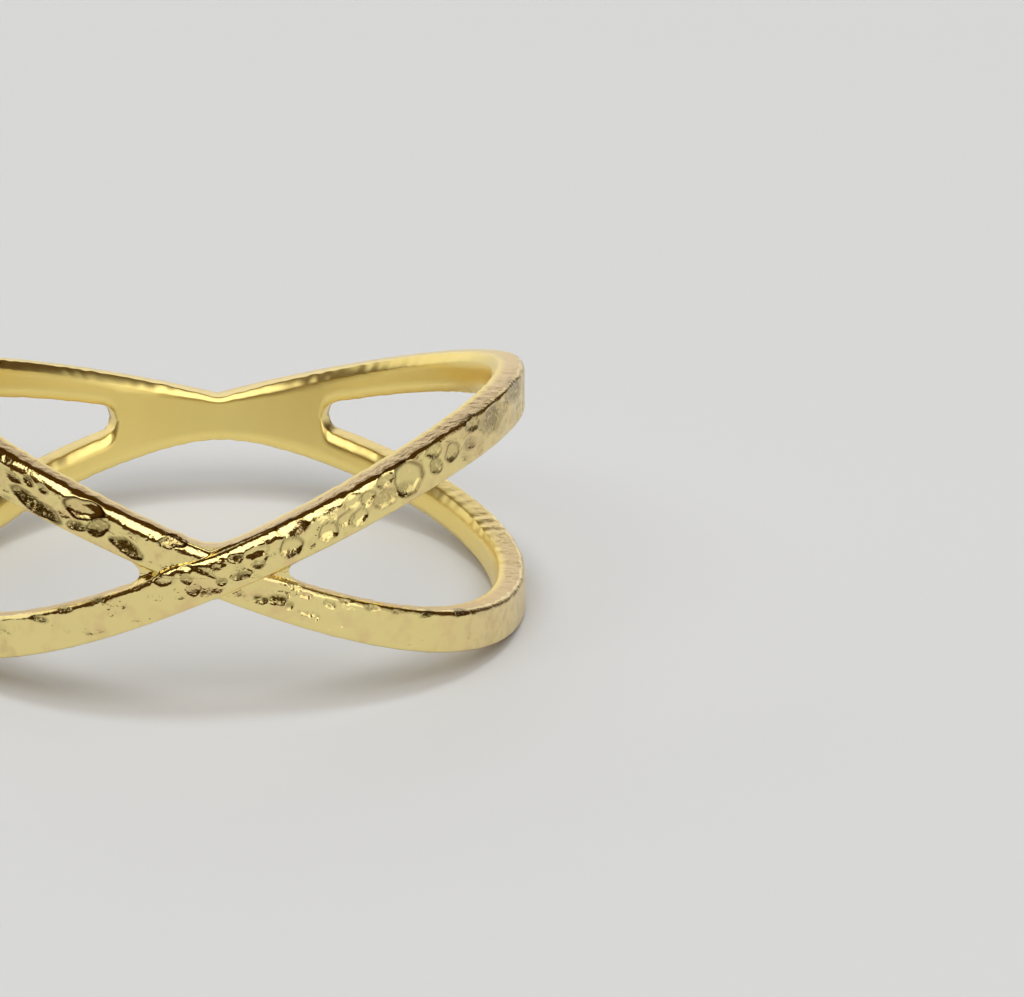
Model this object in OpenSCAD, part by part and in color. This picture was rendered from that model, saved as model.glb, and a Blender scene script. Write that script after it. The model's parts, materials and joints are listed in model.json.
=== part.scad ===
// Crossover ring: two hammered bands that cross at the front and at the back,
// cast as one solid piece. The front faces -Y and +Z is up.
// The ring is stored as it lies on a table: on the two low arches at its sides,
// leaning back by the few degrees that bring both arches under its middle.

/* [Finger hole] */
// Inner diameter, where the finger goes
bore_d = 17.3; // [14:0.1:22]
// How far the arches, stretched by the hammer, stand off the finger between the crossings
arch_relief = 0.02; // [0.01:0.01:0.04]

/* [Bands] */
// Thickness of the metal, from the finger hole outwards
wall_t = 1.0; // [0.8:0.05:1.6]
// Width of each band along the finger at the front crossing
front_band_w = 1.36; // [1:0.02:2]
// Width of the high arches at the sides, spread a little by hammering
high_band_w = 1.48; // [1:0.02:2]
// Width of the low arches at the sides
low_band_w = 1.28; // [1:0.02:2]
// Width of each band at the back crossing
back_band_w = 1.02; // [0.9:0.02:1.8]
// Rounding of the outer edges
edge_r = 0.2; // [0.05:0.01:0.28]

/* [Arches] */
// Height of the arches: from mid height to the middle of a band at the sides
arch_h = 3.25; // [2.6:0.05:5]
// How much further the arches rise at the front quarters than at the back ones
front_lead = 0.39; // [0:0.01:0.5]

/* [Crossings] */
// Half length of the solid front crossing, along the outside
front_half_l = 2.35; // [2:0.05:3]
// Half length of the solid back crossing, along the outside
back_half_l = 3.75; // [3.2:0.05:5]
// Radius of the rounded window ends
window_end_r = 0.42; // [0.2:0.02:0.6]
// How far the band that runs over stands above the one that runs under
over_step = 0.2; // [0:0.01:0.3]
// Depth of the web between the bands below their outer faces
web_depth = 0.3; // [0.3:0.01:0.45]
// Metal that fills the upper notch of the front crossing
front_top_fill = 0.18; // [0.02:0.02:0.4]
// Metal that fills the lower notch of the front crossing
front_bottom_fill = 0.04; // [0.02:0.02:0.4]
// Metal that fills the upper notch of the back crossing
back_top_fill = 0.02; // [0.02:0.02:0.4]
// Metal that fills the lower notch of the back crossing
back_bottom_fill = 0.4; // [0.02:0.02:0.5]

/* [Hammering] */
// Depth of the hammer marks in the outer faces
hammer_depth = 0.045; // [0:0.005:0.08]
// Waviness that the hammering leaves along the edges
edge_wave = 0.025; // [0:0.005:0.05]

/* [Hidden] */

bore_r = bore_d / 2;
outer_r = bore_r + wall_t;
mid_r = bore_r + wall_t / 2;
// The blank reaches this far inside the finger hole, which is then bored true
bore_stock = 0.4;
blank_r = bore_r - bore_stock;
ring_gold = "#d8c882";

// Angles are measured from the middle of the front, positive towards +X
front_half_a = front_half_l / outer_r * 180 / PI;
back_half_a = back_half_l / outer_r * 180 / PI;
window_end_a = window_end_r / outer_r * 180 / PI;
// Share of the end radius at each section of a rounded window end
window_end_steps = [0.06, 0.2, 0.45, 1];
window_end_run = window_end_a * (1 - window_end_steps[0]);
// Angles over which the step of the upper band fades out along the front arches
step_fade = [20, 50];
// Width over which the edge of the upper band rounds down to the lower band
step_run = 0.22;

front_plate_steps = 6;
arch_steps = 34;
back_plate_steps = 7;
corner_steps = 3;
face_steps = 4;
hammer_seed = 41;
mark_range = [-1, 0.4];
// Least height of the web strip, where it narrows to nothing
web_least_h = 0.04;
// Shares of a crossing's half length that have no web, at the front and the back
front_no_web = 0.35;
back_no_web = 0.3;
// Largest share of a band's width that one rounded corner takes
corner_share = 0.3;
// Largest height of the web, as a share of the distance between the bands
web_h_share = 0.5;

// Value that eases from 0 to 1 as x goes from a to b
function ease(x, a, b) =
    let (t = min(1, max(0, (x - a) / (b - a))))
    t * t * (3 - 2 * t);

// Height of the middle of the band that runs over, above mid height
function band_mid(a) = arch_h * sin(a) + front_lead * sin(2 * a);

// Width of a band at angle a, from its widths at the front, side and back
function band_w(a, side_w) =
    side_w + (front_band_w - back_band_w) / 2 * cos(a)
    + ((front_band_w + back_band_w) / 2 - side_w) * pow(cos(a), 2);

// Height of an outline that is rounded out by fill where the bands cross
function filled(height, fill) = sqrt(height * height + fill * fill);

function is_front(a) = abs(a) < 90;
function in_front_plate(a) = abs(a) < front_half_a - 0.001;
function in_back_plate(a) = abs(a) > 180 - back_half_a + 0.001;
function in_plate(a) = in_front_plate(a) || in_back_plate(a);

// Distance from the nearest window end, as a share of the end radius
function from_end(a) =
    window_end_steps[0]
    + min(abs(a) - front_half_a, 180 - back_half_a - abs(a)) / window_end_a;

// Share of its full height that a window has at angle a
function window_share(a) =
    let (s = min(1, max(window_end_steps[0], from_end(a))))
    sqrt(1 - pow(1 - s, 2));

// Share of the web's depth inside a crossing: full at the windows, none in the middle
function web_share(a) =
    in_front_plate(a) ? ease(abs(a), front_half_a * front_no_web, front_half_a)
    : in_back_plate(a) ? ease(180 - abs(a), back_half_a * back_no_web, back_half_a)
    : 1;

// Lower and upper edge of each window, and of the web that closes it
function window_edges(a) =
    let (
        middle = abs(band_mid(a)),
        low = band_w(a, low_band_w) / 2 - middle,
        high = middle - band_w(a, high_band_w) / 2,
        centre = (low + high) / 2,
        half = max(web_least_h, high - low) / 2 * window_share(a),
        kept = in_plate(a) ? max(web_least_h, min(2 * half, middle * web_h_share)) / 2 : half
    )
    [centre - kept, centre + kept];

// Bottom and top of the ring at angle a
function bottom_of(a) =
    -filled(band_mid(a), is_front(a) ? front_bottom_fill : back_bottom_fill)
    - band_w(a, low_band_w) / 2;
function top_of(a) =
    filled(band_mid(a), is_front(a) ? front_top_fill : back_top_fill)
    + band_w(a, high_band_w) / 2;

// Outer radius at angle a and height z: the band that runs over stands proud
function face_r(a, z) =
    let (
        half_w = band_w(a, high_band_w) / 2,
        over = ease(half_w - abs(z - band_mid(a)), -step_run / 2, step_run / 2),
        fade = 1 - ease(abs(a), step_fade[0], step_fade[1])
    )
    outer_r + over_step * fade * (over - 0.5);

// Section angles: from the middle of the front round the right side to the back
right_angles = concat(
    [for (i = [0:front_plate_steps - 1]) front_half_a * i / front_plate_steps],
    [for (s = window_end_steps) front_half_a + window_end_a * (s - window_end_steps[0])],
    [for (i = [1:arch_steps - 1])
        let (
            first = front_half_a + window_end_run,
            last = 180 - back_half_a - window_end_run
        )
        first + (last - first) * i / arch_steps],
    [for (i = [len(window_end_steps) - 1:-1:0])
        180 - back_half_a - window_end_a * (window_end_steps[i] - window_end_steps[0])],
    [for (i = [back_plate_steps - 1:-1:0]) 180 - back_half_a * i / back_plate_steps]
);
half_count = len(right_angles);
// The left side mirrors the right one, without repeating the front and back middles
angles = concat(right_angles, [for (i = [half_count - 2:-1:1]) -right_angles[i]]);
section_count = len(angles);

// Points of one section of a strip, counted from its inner lower corner
strip_points = 2 * (corner_steps + 1) + face_steps + 2;
marks = rands(mark_range[0], mark_range[1], 2 * section_count * strip_points, hammer_seed);
waves = rands(-1, 1, 2 * section_count, hammer_seed + 1);

// The sections stand close together round a window end, so the hammering fades out there
function hammered(a) =
    ease(min(abs(abs(a) - front_half_a), abs(180 - back_half_a - abs(a))), 0, 2 * window_end_a);
// Mark of the hammer at one point of a strip, and its wave at one point of an edge
function mark(strip, i, k) =
    hammer_depth * hammered(angles[i]) * marks[(strip * section_count + i) * strip_points + k];
function wave(edge, i) = edge_wave * hammered(angles[i]) * waves[edge * section_count + i];

// Outer profile of a strip from height low to high. Its corners are rounded, and
// each corner is as deep as low_depth or high_depth says.
function outer_profile(strip, i, low, high, low_depth, high_depth) =
    let (
        a = angles[i],
        corner_h = min(edge_r, (high - low) * corner_share)
    )
    concat(
        [for (k = [0:corner_steps])
            let (t = 90 * k / corner_steps, z = low + corner_h * (1 - cos(t)))
            [face_r(a, z) - low_depth * (1 - sin(t)) + mark(strip, i, k) * sin(t), z]],
        [for (k = [1:face_steps - 1])
            let (z = low + corner_h + (high - low - 2 * corner_h) * k / face_steps)
            [face_r(a, z) + mark(strip, i, corner_steps + k), z]],
        [for (k = [0:corner_steps])
            let (t = 90 * k / corner_steps, z = high - corner_h * (1 - sin(t)))
            [face_r(a, z) - high_depth * (1 - cos(t))
                + mark(strip, i, corner_steps + face_steps + k) * cos(t), z]]
    );

// Sections as [radius, height] points: the lower strip is the low arches and the
// lower half of each crossing, the upper strip is the rest
function low_section(i) =
    let (
        a = angles[i],
        bottom = bottom_of(a) + wave(0, i),
        edge = window_edges(a)[0],
        share = web_share(a)
    )
    concat(
        [[blank_r, bottom]],
        outer_profile(0, i, bottom, edge, edge_r, edge_r * share),
        [[outer_r - web_depth * share, edge], [blank_r, edge]]
    );
function high_section(i) =
    let (
        a = angles[i],
        top = top_of(a) + wave(1, i),
        edge = window_edges(a)[1],
        share = web_share(a)
    )
    concat(
        [[blank_r, edge], [outer_r - web_depth * share, edge]],
        outer_profile(1, i, edge, top, edge_r * share, edge_r),
        [[blank_r, top]]
    );

function placed(section, a) = [for (p = section) [p[0] * sin(a), -p[0] * cos(a), p[1]]];
last_section = section_count - 1;
points = concat(
    [for (i = [0:last_section]) each placed(low_section(i), angles[i])],
    [for (i = [0:last_section]) each placed(high_section(i), angles[i])]
);

// Index of point k in section i of a strip: 0 is the lower strip, 1 the upper one
function at(strip, i, k) =
    (strip * section_count + i % section_count) * strip_points + k;
// Two triangles between the points k1 and k2 of section i and the next one
function patch(s1, k1, s2, k2, i) = [
    [at(s1, i, k1), at(s2, i, k2), at(s1, i + 1, k1)],
    [at(s1, i + 1, k1), at(s2, i, k2), at(s2, i + 1, k2)]
];
// A step between two sections is solid web when its middle lies in a crossing
function next_angle(i) = angles[(i + 1) % section_count];
function joined(i) = in_plate(angles[i]) || in_plate(next_angle(i));

// The last two points of the lower strip and the first two of the upper one face
// each other across the window. A crossing joins them, and an arch closes each strip.
low_web = strip_points - 2;
low_inner = strip_points - 1;
high_inner = 0;
high_web = 1;
ring_faces = [
    for (i = [0:last_section])
        each concat(
            [for (k = [0:low_web - 1]) each patch(0, k, 0, k + 1, i)],
            [for (k = [high_web:strip_points - 2]) each patch(1, k, 1, k + 1, i)],
            patch(0, low_inner, 0, 0, i),
            patch(1, strip_points - 1, 1, high_inner, i),
            joined(i)
                ? concat(patch(0, low_web, 1, high_web, i), patch(1, high_inner, 0, low_inner, i))
                : concat(patch(0, low_web, 0, low_inner, i), patch(1, high_inner, 1, high_web, i))
        ),
    for (i = [0:last_section])
        if (joined(i) != joined((i + 1) % section_count))
            each end_wall(i + 1, joined(i))
];
// Wall that closes a window at section i; ahead is true where the window lies ahead
function end_wall(i, ahead) =
    let (
        a = at(0, i, low_web),
        b = at(0, i, low_inner),
        c = at(1, i, high_inner),
        d = at(1, i, high_web)
    )
    ahead ? [[a, c, b], [a, d, c]] : [[a, b, c], [a, c, d]];

// The lean that levels the undersides of the low arches at the sides
arch_slope = (2 * front_lead + (front_band_w - back_band_w) / 4) / mid_r;
lean = atan(arch_slope);
leaned_y = [for (p = points) p[1] * cos(lean) + p[2] * sin(lean)];
leaned_z = [for (p = points) p[2] * cos(lean) - p[1] * sin(lean)];
points_x = [for (p = points) p[0]];
centre_x = (min(points_x) + max(points_x)) / 2;
centre_y = (min(leaned_y) + max(leaned_y)) / 2;
rest_h = -min(leaned_z);
bore_cut_l = 2 * (arch_h + front_lead + high_band_w + low_band_w);

// The crossings carry the ring size, and each side's arches stand a little off it,
// from a little way past the window ends, clear of the sections there
stand_off_in_a = 1.7;
arch_start_a = front_half_a + window_end_run + stand_off_in_a;
arch_end_a = 180 - back_half_a - window_end_run - stand_off_in_a;
module arch_stand_off() {
    for (first = [arch_start_a, -arch_end_a])
        rotate([0, 0, first - 90])
        rotate_extrude(angle = arch_end_a - arch_start_a, $fn = 180)
        translate([0, -bore_cut_l / 2])
        square([bore_r + arch_relief, bore_cut_l]);
}

module ring() {
    color(ring_gold)
    translate([-centre_x, -centre_y, rest_h])
    rotate([-lean, 0, 0])
    difference() {
        polyhedron(points = points, faces = ring_faces, convexity = 8);
        cylinder(r = bore_r, h = bore_cut_l, center = true, $fn = 180);
        arch_stand_off();
    }
}

ring();
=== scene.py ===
"""Hammered crossover ring on a pale floor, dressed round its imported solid.

The ring is forged here as by hand: two flat strips are rolled into hoops along
the low and the high arches, soldered where the bands cross, and hammered.
Lengths are in millimetres until a mesh is finished, and then in metres.
"""

import json
import logging
import math
from dataclasses import dataclass, field
from enum import Enum
from functools import cached_property

import bpy
import numpy as np
from mathutils import Matrix, Vector

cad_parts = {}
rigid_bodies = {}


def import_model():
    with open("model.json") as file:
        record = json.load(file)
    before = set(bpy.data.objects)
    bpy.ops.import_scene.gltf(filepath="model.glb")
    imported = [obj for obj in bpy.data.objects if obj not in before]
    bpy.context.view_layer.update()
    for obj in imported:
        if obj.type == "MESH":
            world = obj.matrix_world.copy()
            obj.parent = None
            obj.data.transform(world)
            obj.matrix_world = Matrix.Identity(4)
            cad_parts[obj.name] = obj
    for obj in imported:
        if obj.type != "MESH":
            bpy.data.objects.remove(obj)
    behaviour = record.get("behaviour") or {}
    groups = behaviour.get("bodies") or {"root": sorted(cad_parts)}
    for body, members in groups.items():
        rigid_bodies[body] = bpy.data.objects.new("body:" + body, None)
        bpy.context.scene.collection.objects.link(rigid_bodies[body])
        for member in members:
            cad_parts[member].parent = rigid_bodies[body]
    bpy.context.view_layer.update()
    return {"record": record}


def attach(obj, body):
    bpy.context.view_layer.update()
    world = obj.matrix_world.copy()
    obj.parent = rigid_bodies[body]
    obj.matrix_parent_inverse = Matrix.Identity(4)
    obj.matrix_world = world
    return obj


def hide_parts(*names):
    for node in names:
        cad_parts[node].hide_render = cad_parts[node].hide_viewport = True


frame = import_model()

LOG = logging.getLogger("crossover_ring")
MM = 0.001
TINY = 1e-6
Array = np.ndarray
Tree = bpy.types.NodeTree
Socket = bpy.types.NodeSocket
Range = tuple[float, float]


def deselect_all() -> None:
    """Leave no object selected or active."""
    for item in bpy.context.view_layer.objects:
        item.select_set(False)
    bpy.context.view_layer.objects.active = None


def make_active(item: bpy.types.Object) -> None:
    """Select one object alone and make it active."""
    deselect_all()
    item.select_set(True)
    bpy.context.view_layer.objects.active = item


def ease(x: Array, a: float, b: float) -> Array:
    """Value that eases from 0 at a to 1 at b.

    Args:
        x: Where it is read.
        a: Where it starts to rise.
        b: Where it reaches 1.

    Returns:
        The eased values.
    """
    t = np.clip((x - a) / (b - a), 0.0, 1.0)
    return t * t * (3.0 - 2.0 * t)


def bell(x: Array, middle: Array | float, width: float) -> Array:
    """Bell curve of height 1."""
    return np.exp(-(((x - middle) / width) ** 2))


def soft_max(a: Array, b: Array, blend: float) -> Array:
    """The larger of two values, rounded over the width of blend where they meet."""
    h = np.clip(blend - np.abs(a - b), 0.0, None) / blend
    return np.maximum(a, b) + h * h * blend / 4


def linear_colour(code: str) -> tuple[float, float, float, float]:
    """Turn an sRGB hex value into the linear colour that shaders use.

    Args:
        code: Six hex digits, such as "d8c882".

    Returns:
        Linear red, green, blue and an alpha of 1.
    """
    parts = [int(code[i : i + 2], 16) / 255 for i in (0, 2, 4)]
    parts = [c / 12.92 if c <= 0.04045 else ((c + 0.055) / 1.055) ** 2.4 for c in parts]
    return (*parts, 1.0)


def add_node(
    tree: Tree, kind: str, inputs: dict | None = None, output: int | str = 0, **settings: str
) -> Socket:
    """Add a shader node with its settings, values and links.

    A Mix node has its numbers at inputs 2 and 3, its vectors at 4 and 5 and its
    colours at 6 and 7, and gives them at outputs 0, 1 and 2.

    Args:
        tree: The node tree that it joins.
        kind: The node's type without its first words, such as "TexNoise".
        inputs: Value or output socket for each input, by name or index.
        output: The output that is used, by name or index.
        **settings: Attributes of the node.

    Returns:
        That output of the new node.
    """
    node = tree.nodes.new("ShaderNode" + kind)
    for name, value in settings.items():
        setattr(node, name, value)
    for name, value in (inputs or {}).items():
        if isinstance(value, Socket):
            tree.links.new(value, node.inputs[name])
        else:
            node.inputs[name].default_value = value
    return node.outputs[output]


@dataclass(frozen=True)
class PhotoCamera:
    """Camera at the photo's angle, at a real camera's distance."""

    azimuth_deg: float = 1.497
    elevation_deg: float = 21.652
    roll_deg: float = -0.172
    distance_mm: float = 250.0
    pixels_per_mm: float = 31.912
    image_size: tuple[int, int] = (1024, 997)
    ring_centre_px: Range = (216.94, 488.75)
    sensor_mm: float = 36.0
    clip_m: Range = (0.01, 20.0)

    def axes(self) -> tuple[Vector, Vector, Vector]:
        """Find which way the view looks.

        Returns:
            Its right, up and forward directions.
        """
        az, el = math.radians(self.azimuth_deg), math.radians(self.elevation_deg)
        forward = Vector((math.sin(az) * math.cos(el), math.cos(az) * math.cos(el), -math.sin(el)))
        right = Vector((math.cos(az), -math.sin(az), 0.0))
        up = right.cross(forward)
        turn = Matrix.Rotation(math.radians(-self.roll_deg), 3, forward)
        return turn @ right, turn @ up, forward

    def focal_px(self) -> float:
        """Focal length in pixels."""
        return self.pixels_per_mm * self.distance_mm

    def towards(self, px: float, py: float) -> Vector:
        """Find the way from the camera through a pixel of the photo.

        Args:
            px: Pixels from the left.
            py: Pixels from the top.

        Returns:
            A direction that is one long along the view.
        """
        right, up, forward = self.axes()
        x = (px - self.image_size[0] / 2) / self.focal_px()
        y = (py - self.image_size[1] / 2) / self.focal_px()
        return forward + right * x - up * y

    def place(self, centre: Vector) -> Vector:
        """Position of the camera, from which the ring's centre falls on its pixel."""
        return centre - self.distance_mm * self.towards(*self.ring_centre_px)

    def build(self, centre: Vector) -> None:
        """Make the camera and use it for the scene.

        Args:
            centre: The ring's centre in millimetres.
        """
        right, up, forward = self.axes()
        data = bpy.data.cameras.new("photo_camera")
        data.sensor_width = self.sensor_mm
        data.lens = self.focal_px() / self.image_size[0] * self.sensor_mm
        data.clip_start, data.clip_end = self.clip_m
        camera = bpy.data.objects.new("photo_camera", data)
        turned = Matrix((right, up, -forward)).transposed().to_4x4()
        camera.matrix_world = Matrix.Translation(self.place(centre) * MM) @ turned
        bpy.context.scene.collection.objects.link(camera)
        bpy.context.scene.camera = camera


@dataclass(frozen=True)
class FingerHole:
    """The ring's hole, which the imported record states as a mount."""

    centre: Vector
    axis: Vector
    radius: float

    @classmethod
    def from_record(cls, record: dict) -> "FingerHole":
        """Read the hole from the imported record.

        Args:
            record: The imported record.

        Returns:
            The hole, in millimetres.
        """
        mount = next(m for m in record["mounts"] if m["name"] == "finger_hole")
        place = Vector(mount["pos_m"]) / MM
        return cls(place, Vector(mount["axis"]).normalized(), mount["dims"]["r_mm"])

    def lean(self) -> Matrix:
        """Turn from the ring's own upright frame to the way it leans at rest."""
        return Matrix.Rotation(-math.atan2(self.axis.y, self.axis.z), 3, "X")


@dataclass(frozen=True)
class BandPath:
    """Where the two bands run, in the ring's own frame, as in the solid.

    Angles are in radians from the middle of the front, positive towards +X, and
    heights are measured from mid height. The wander is how far filing by hand
    lets the edges stray.
    """

    wall: float = 1.0
    front_w: float = 1.36
    high_w: float = 1.48
    low_w: float = 1.28
    back_w: float = 1.02
    arch_h: float = 3.25
    front_lead: float = 0.39
    front_half_l: float = 2.35
    back_half_l: float = 3.75
    window_end_r: float = 0.42
    front_top_fill: float = 0.18
    front_bottom_fill: float = 0.04
    back_top_fill: float = 0.02
    back_bottom_fill: float = 0.4
    over_step: float = 0.2
    web_depth: float = 0.3
    step_fade_deg: Range = (20.0, 50.0)
    wander_seed: int = 7
    wander_waves: int = 12
    wander_turns: tuple[int, int] = (30, 130)
    wander_height: float = 0.0028
    wander_free_h: float = 0.3

    def over_mid(self, a: Array) -> Array:
        """Height of the middle of the band that runs over."""
        return self.arch_h * np.sin(a) + self.front_lead * np.sin(2 * a)

    def slope(self, a: Array, radius: float) -> Array:
        """Rise of that band for each millimetre along the ring."""
        return (self.arch_h * np.cos(a) + 2 * self.front_lead * np.cos(2 * a)) / radius

    def width(self, a: Array, side_w: Array | float) -> Array:
        """Find how wide a band is.

        Args:
            a: Angles.
            side_w: Its width at the sides.

        Returns:
            Its width at each angle.
        """
        ends = (self.front_w + self.back_w) / 2
        tilt = (self.front_w - self.back_w) / 2
        return side_w + tilt * np.cos(a) + (ends - side_w) * np.cos(a) ** 2

    def over_width(self, a: Array) -> Array:
        """Width of the band that runs over, which is the high one on the right."""
        return self.width(a, np.where(np.sin(a) > 0, self.high_w, self.low_w))

    def under_width(self, a: Array) -> Array:
        """Width of the band that runs under, which is the low one on the right."""
        return self.width(a, np.where(np.sin(a) > 0, self.low_w, self.high_w))

    def bottom(self, a: Array) -> Array:
        """Lower outline of the ring."""
        fill = np.where(np.cos(a) > 0, self.front_bottom_fill, self.back_bottom_fill)
        return -np.hypot(self.over_mid(a), fill) - self.width(a, self.low_w) / 2 + self.wander(a, 0)

    def top(self, a: Array) -> Array:
        """Upper outline of the ring."""
        fill = np.where(np.cos(a) > 0, self.front_top_fill, self.back_top_fill)
        return np.hypot(self.over_mid(a), fill) + self.width(a, self.high_w) / 2 + self.wander(a, 1)

    def ends(self, radius: float) -> Range:
        """Angles from the middle of the front to a window's front end and to its back end."""
        return self.front_half_l / radius, math.pi - self.back_half_l / radius

    def into_window(self, a: Array, radius: float) -> Array:
        """Find how far inside a window each angle lies.

        Args:
            a: Angles.
            radius: Radius of the bands' outside.

        Returns:
            Distance along the outside from the nearest window end, negative outside a window.
        """
        front, back = self.ends(radius)
        side = np.abs(a)
        return np.minimum((side - front) * radius, (back - side) * radius)

    def window(self, a: Array, radius: float) -> tuple[Array, Array]:
        """Find the window's edges, which meet inside a crossing.

        Args:
            a: Angles.
            radius: Radius of the bands' outside.

        Returns:
            Heights of its lower and of its upper edge.
        """
        middle = np.abs(self.over_mid(a))
        low = self.width(a, self.low_w) / 2 - middle
        high = middle - self.width(a, self.high_w) / 2
        share = np.clip(self.into_window(a, radius) / self.window_end_r, 0.0, 1.0)
        half = np.maximum(high - low, 0.0) / 2 * np.sqrt(1 - (1 - share) ** 2)
        centre = (low + high) / 2
        loose = np.minimum(share, half / self.wander_free_h)
        return centre - half + self.wander(a, 2) * loose, centre + half + self.wander(a, 3) * loose

    def wander(self, a: Array, edge: int) -> Array:
        """How far an edge strays from its line, as hand filing leaves it.

        Args:
            a: Angles.
            edge: Which edge, so that no two stray alike.

        Returns:
            Heights in millimetres.
        """
        rng = np.random.default_rng(self.wander_seed + edge)
        total = np.zeros_like(np.asarray(a, dtype=float))
        for turns in rng.integers(*self.wander_turns, size=self.wander_waves):
            total = total + np.sin(turns * a + rng.uniform(0, 2 * math.pi)) * self.wander_height
        return total


@dataclass(frozen=True)
class Dent:
    """A hammer mark, charted and placed by its pixel in the photo.

    along and across are half its length and height in pixels, and turn_deg
    turns it anticlockwise as seen. depth and lip are in millimetres, grit is
    how rough its bottom is, and bowl is 0 for a flat bottom and 1 for a bowl.
    outline is how much painted shade darkens the crease round it.
    """

    x: float
    y: float
    along: float
    across: float
    depth: float
    turn_deg: float = 0.0
    grit: float = 0.0
    lip: float = 0.01
    bowl: float = 0.0
    outline: float = 0.3


@dataclass(frozen=True)
class Strike:
    """A hammer mark on the ring's outside, in millimetres and radians."""

    s: float
    z: float
    along: float
    across: float
    depth: float
    turn: float
    grit: float
    lip: float
    bowl: float = 0.0
    outline: float = 0.1

    def from_middle(self, s: Array, z: Array) -> Array:
        """Find how far places lie from the mark's middle.

        Args:
            s: Arc length from the middle of the front.
            z: Height above the middle of the ring.

        Returns:
            Distances, which are 1 on the mark's outline.
        """
        ds, dz = s - self.s, z - self.z
        x = (ds * math.cos(self.turn) + dz * math.sin(self.turn)) / self.along
        y = (dz * math.cos(self.turn) - ds * math.sin(self.turn)) / self.across
        return np.hypot(x, y)


@dataclass
class Hammering:
    """Marks of the hammer on the outside of both bands.

    The fill fields size the seeded marks, and the shown ones hold them back
    where the photo shows the ring. light_at gives the heights between which the
    blows grow from light to full. The warp bends the marks' outlines, each of
    its rows giving a share and the waves along s and z. rim_at and crease_at
    give where a mark's raised rim and the painted shade of its crease run, and
    how wide they are, as shares of its size.
    """

    path: BandPath
    outer_r: float
    seed: int = 41
    foreshortened: Range = (0.5, 0.12)
    tries: int = 9000
    fill_size: Range = (0.09, 0.3)
    fill_small_bias: float = 1.8
    fill_stretch: Range = (0.8, 1.5)
    fill_depth: float = 0.2
    fill_depth_share: Range = (0.35, 1.0)
    fill_turn: float = 0.9
    fill_grit: float = 0.12
    fill_lip: float = 0.25
    fill_spacing: float = 0.8
    edge_room: float = 0.03
    light_at: Range = (-0.4, 0.3)
    light_share: Range = (0.2, 1.0)
    shown: Range = (-6.7, 8.8)
    shown_share: float = 0.12
    shown_above: float = -0.3
    shown_size: float = 0.5
    shown_depth: float = 0.3
    waves: int = 14
    wave_height: float = 0.0035
    wave_length: Range = (0.5, 1.4)
    warp: float = 0.035
    warp_s: tuple[tuple[float, ...], ...] = ((1.0, 3.3, 5.1), (0.4, -9.0, 17.0))
    warp_z: tuple[tuple[float, ...], ...] = ((1.0, 4.3, -2.7), (0.4, 13.0, 8.0))
    wall_share: float = 0.42
    flat_cup: float = 0.15
    rim_at: Range = (1.1, 0.16)
    crease_at: Range = (0.95, 0.11)
    mark_room: Range = (1.5, 0.1)
    unstruck: float = 0.004
    strikes: list[Strike] = field(default_factory=list)

    def chart(self, camera: PhotoCamera, hole: FingerHole, dents: tuple[Dent, ...]) -> None:
        """Find where the charted dents lie round the ring.

        Args:
            camera: The camera whose pixels place them.
            hole: The hole whose axis the ring's outside goes round.
            dents: The dents to place.
        """
        to_ring = hole.lean().transposed()
        start = to_ring @ (camera.place(hole.centre) - hole.centre)
        least, most = self.foreshortened[0] / camera.pixels_per_mm, self.foreshortened[1]
        for dent in dents:
            s, z = self.land(start, to_ring @ camera.towards(dent.x, dent.y).normalized())
            beside = self.land(start, to_ring @ camera.towards(dent.x + 1, dent.y).normalized())
            along = dent.along * min(max(abs(beside[0] - s), least), most)
            across = dent.across / camera.pixels_per_mm
            turn = math.radians(dent.turn_deg)
            finish = (dent.grit, dent.lip, dent.bowl, dent.outline)
            self.strikes.append(Strike(s, z, along, across, dent.depth, turn, *finish))

    def land(self, start: Vector, ray: Vector) -> tuple[float, float]:
        """Find where a ray first meets the outside.

        Args:
            start: Where the ray starts, in the ring's own frame.
            ray: Its direction.

        Returns:
            Arc length and height.
        """
        a = ray.x**2 + ray.y**2
        b = start.x * ray.x + start.y * ray.y
        c = start.x**2 + start.y**2 - self.outer_r**2
        far = (-b - math.sqrt(max(b * b - a * c, 0.0))) / a
        hit = start + ray * far
        return math.atan2(hit.x, -hit.y) * self.outer_r, hit.z

    def strength(self, z: float) -> float:
        """How hard a place is hammered: the high arches fully, the low ones lightly."""
        return float(np.clip(ease(np.array(z), *self.light_at), *self.light_share))

    def scatter(self) -> None:
        """Strike seeded marks on the sides the photo hides, and faint ones between the charted."""
        rng = np.random.default_rng(self.seed)
        half_round = math.pi * self.outer_r
        taken = np.array([(k.s, k.z, (k.along + k.across) / 2) for k in self.strikes])
        small, big = self.fill_size
        for _ in range(self.tries):
            s = rng.uniform(-half_round, half_round)
            at = np.array([s / self.outer_r])
            z = rng.uniform(self.path.bottom(at)[0], self.path.top(at)[0])
            size = small + (big - small) * rng.random() ** self.fill_small_bias
            stretch = rng.uniform(*self.fill_stretch)
            depth = size * self.fill_depth * rng.uniform(*self.fill_depth_share) * self.strength(z)
            turn = rng.uniform(-self.fill_turn, self.fill_turn)
            if self.shown[0] < s < self.shown[1]:
                if rng.random() > self.shown_share or z < self.shown_above:
                    continue
                size *= self.shown_size
                depth *= self.shown_depth
            apart = np.hypot(taken[:, 0] - s, taken[:, 1] - z)
            free = (apart > self.fill_spacing * (taken[:, 2] + size)).all()
            low, high = (float(edge[0]) for edge in self.path.window(at, self.outer_r))
            if free and not low + self.edge_room < z < high - self.edge_room:
                finish = (self.fill_grit, depth * self.fill_lip)
                self.strikes.append(Strike(s, z, size * stretch, size, depth, turn, *finish))
                taken = np.vstack([taken, (s, z, size)])

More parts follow.
